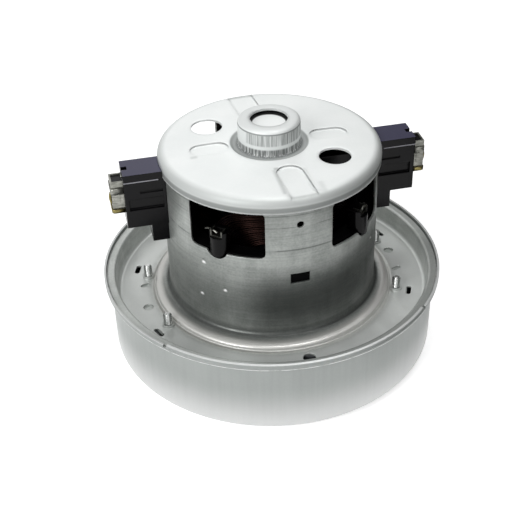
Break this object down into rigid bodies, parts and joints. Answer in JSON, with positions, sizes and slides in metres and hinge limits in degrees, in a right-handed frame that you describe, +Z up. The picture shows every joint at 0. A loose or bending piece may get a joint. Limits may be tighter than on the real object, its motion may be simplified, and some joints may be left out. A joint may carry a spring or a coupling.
{
  "type": "vacuum motor unit",
  "caption": "Through-flow vacuum cleaner motor: drawn steel can with air windows on a round fan case, pressed end cap with bearing collar and two black side brush holders.",
  "frame": {"origin": "middle of the fan cover's bottom face", "axes": "+Z up along the shaft towards the bearing collar, X along the two brushes"},
  "size_m": [0.135, 0.135, 0.0973],
  "materials": {
    "case_steel": "zinc-plated, satin",
    "plain_steel": "bare, satin",
    "lamination_steel": "laminated",
    "black_plastic": "moulded, satin",
    "grey_plastic": "moulded, satin",
    "copper_wire": "enamelled",
    "copper_bar": "turned",
    "moulding": "phenolic",
    "brass_sheet": "bare",
    "tin_plate": "tin-plated, dull",
    "carbon": "pressed carbon",
    "bearing_steel": "ground",
    "fan_aluminium": "rolled sheet"
  },
  "bodies": {
    "root": {"fan_cover": "case_steel", "motor_housing": "case_steel", "end_cap": "case_steel", "bearing_bracket": "plain_steel", "diffuser": "grey_plastic", "diffuser_screws": "plain_steel", "stator_stack": "lamination_steel", "upper_coil_frame": "black_plastic", "lower_coil_frame": "black_plastic", "coil_posts": "black_plastic", "coil_terminals": "tin_plate", "field_coil_front": "copper_wire", "field_coil_rear": "copper_wire", "field_winding_front": "copper_wire", "field_winding_rear": "copper_wire", "brush_holder_left": "black_plastic", "brush_holder_right": "black_plastic", "brush_tube_left": "brass_sheet", "brush_tube_right": "brass_sheet", "brush_terminal_left": "tin_plate", "brush_terminal_right": "tin_plate", "brush_spring_left": "plain_steel", "brush_spring_right": "plain_steel", "upper_bearing_outer": "bearing_steel", "lower_bearing_outer": "bearing_steel", "bearing_washer": "plain_steel", "bearing_disc": "case_steel"},
    "rotor": {"shaft": "plain_steel", "armature_stack": "lamination_steel", "armature_winding": "copper_wire", "commutator_core": "moulding", "commutator_bars": "copper_bar", "upper_bearing_inner": "bearing_steel", "lower_bearing_inner": "bearing_steel", "fan_spacer": "plain_steel", "impeller_hub": "fan_aluminium", "impeller_blades": "fan_aluminium", "impeller_shroud": "fan_aluminium", "fan_washer": "plain_steel", "fan_nut": "plain_steel"},
    "upper_cage": {"upper_balls": "bearing_steel", "upper_ball_cage": "plain_steel"},
    "lower_cage": {"lower_balls": "bearing_steel", "lower_ball_cage": "plain_steel"},
    "brush_left": {"carbon_brush_left": "carbon"},
    "brush_right": {"carbon_brush_right": "carbon"}
  },
  "joints": [
    {"name": "rotor_spin", "type": "hinge", "parent": "root", "child": "rotor", "pos_m": [0, 0, 0.05], "axis": [0, 0, 1], "continuous": true},
    {"name": "upper_cage_spin", "type": "hinge", "parent": "root", "child": "upper_cage", "pos_m": [0, 0, 0.0911], "axis": [0, 0, 1], "continuous": true},
    {"name": "lower_cage_spin", "type": "hinge", "parent": "root", "child": "lower_cage", "pos_m": [0, 0, 0.0197], "axis": [0, 0, 1], "continuous": true},
    {"name": "left_brush_slide", "type": "slide", "parent": "root", "child": "brush_left", "axis": [-1, 0, 0], "range_m": [0, 0.008], "stiffness_N_per_m": 150, "springref_m": -0.02, "deforming": ["brush_spring_left"]},
    {"name": "right_brush_slide", "type": "slide", "parent": "root", "child": "brush_right", "axis": [1, 0, 0], "range_m": [0, 0.008], "stiffness_N_per_m": 150, "springref_m": -0.02, "deforming": ["brush_spring_right"]}
  ],
  "couplings": [
    {"joint": "upper_cage_spin", "follows": "rotor_spin", "ratio": 0.36667},
    {"joint": "lower_cage_spin", "follows": "rotor_spin", "ratio": 0.36667}
  ]
}
